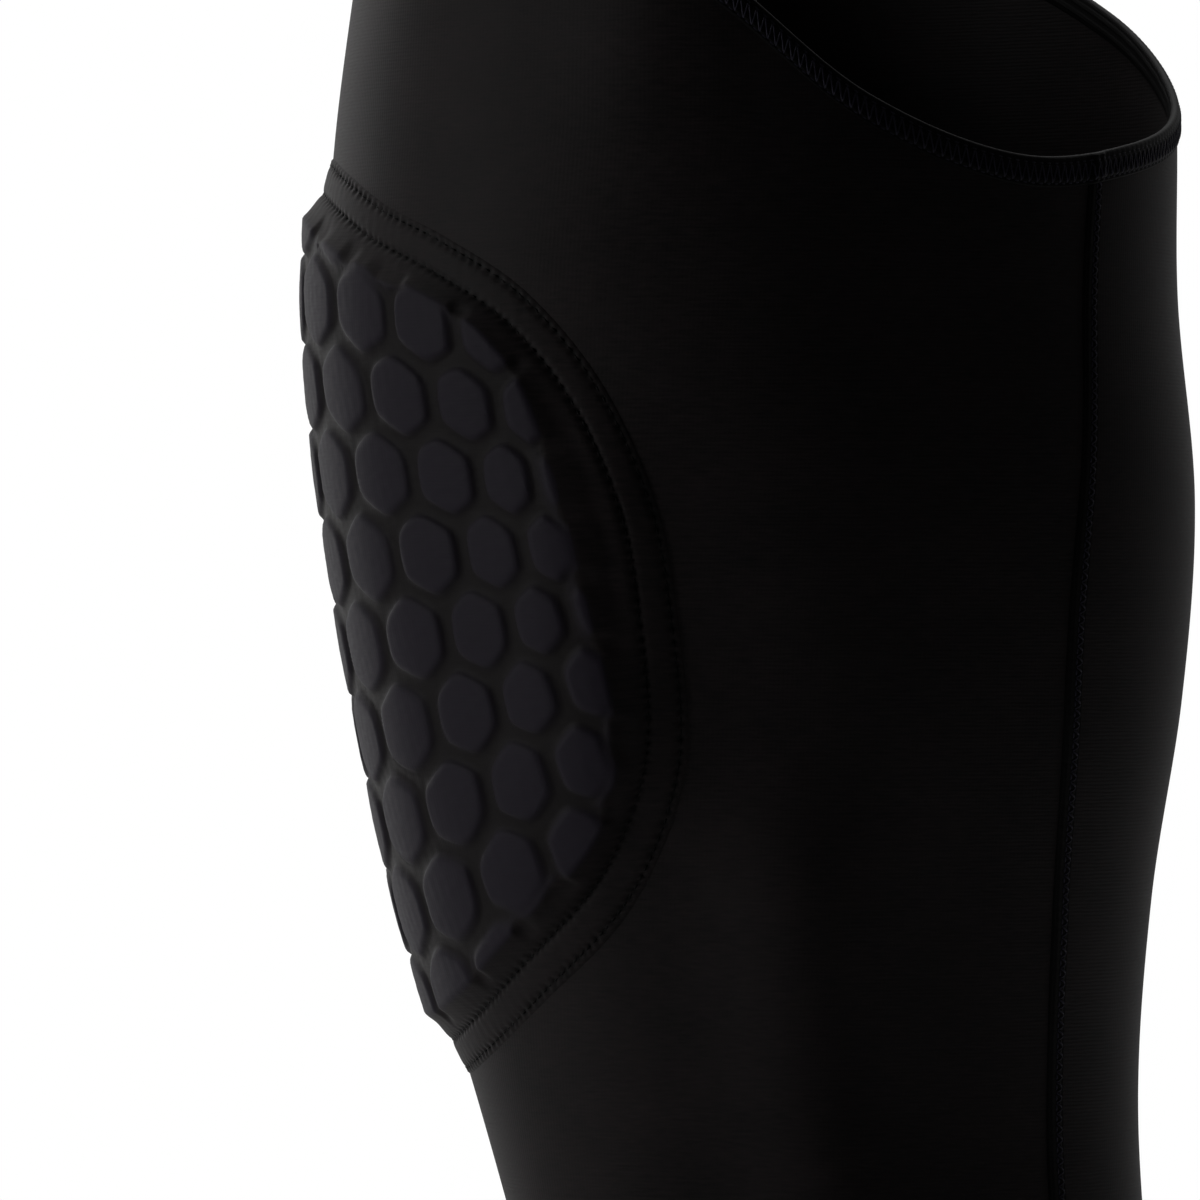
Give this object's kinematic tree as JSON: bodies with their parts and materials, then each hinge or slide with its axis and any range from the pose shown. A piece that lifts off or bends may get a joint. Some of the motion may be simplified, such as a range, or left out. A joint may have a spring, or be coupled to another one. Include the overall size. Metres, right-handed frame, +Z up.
{
  "type": "hip pad",
  "caption": "Honeycomb foam hip pad under a stitched knit panel, on the compression leg sleeve that holds it against the thigh.",
  "frame": {"origin": "inside the leg, on the line the leg's middle follows, at the height of the pad's centre", "axes": "+Z up the leg, -Y the front of the thigh, -X the outer side that carries the pad"},
  "size_m": [0.1897, 0.1959, 0.3157],
  "materials": {
    "sleeve_knit": "fine stretch knit, low sheen",
    "seam_tape": "stitched knit",
    "pad_cover": "smooth knit drawn over foam cells"
  },
  "bodies": {
    "root": {"leg_sleeve": "sleeve_knit", "top_seam": "seam_tape", "inseam": "seam_tape", "pad_panel": "sleeve_knit", "panel_seam": "seam_tape", "honeycomb_pad": "pad_cover"}
  },
  "joints": []
}
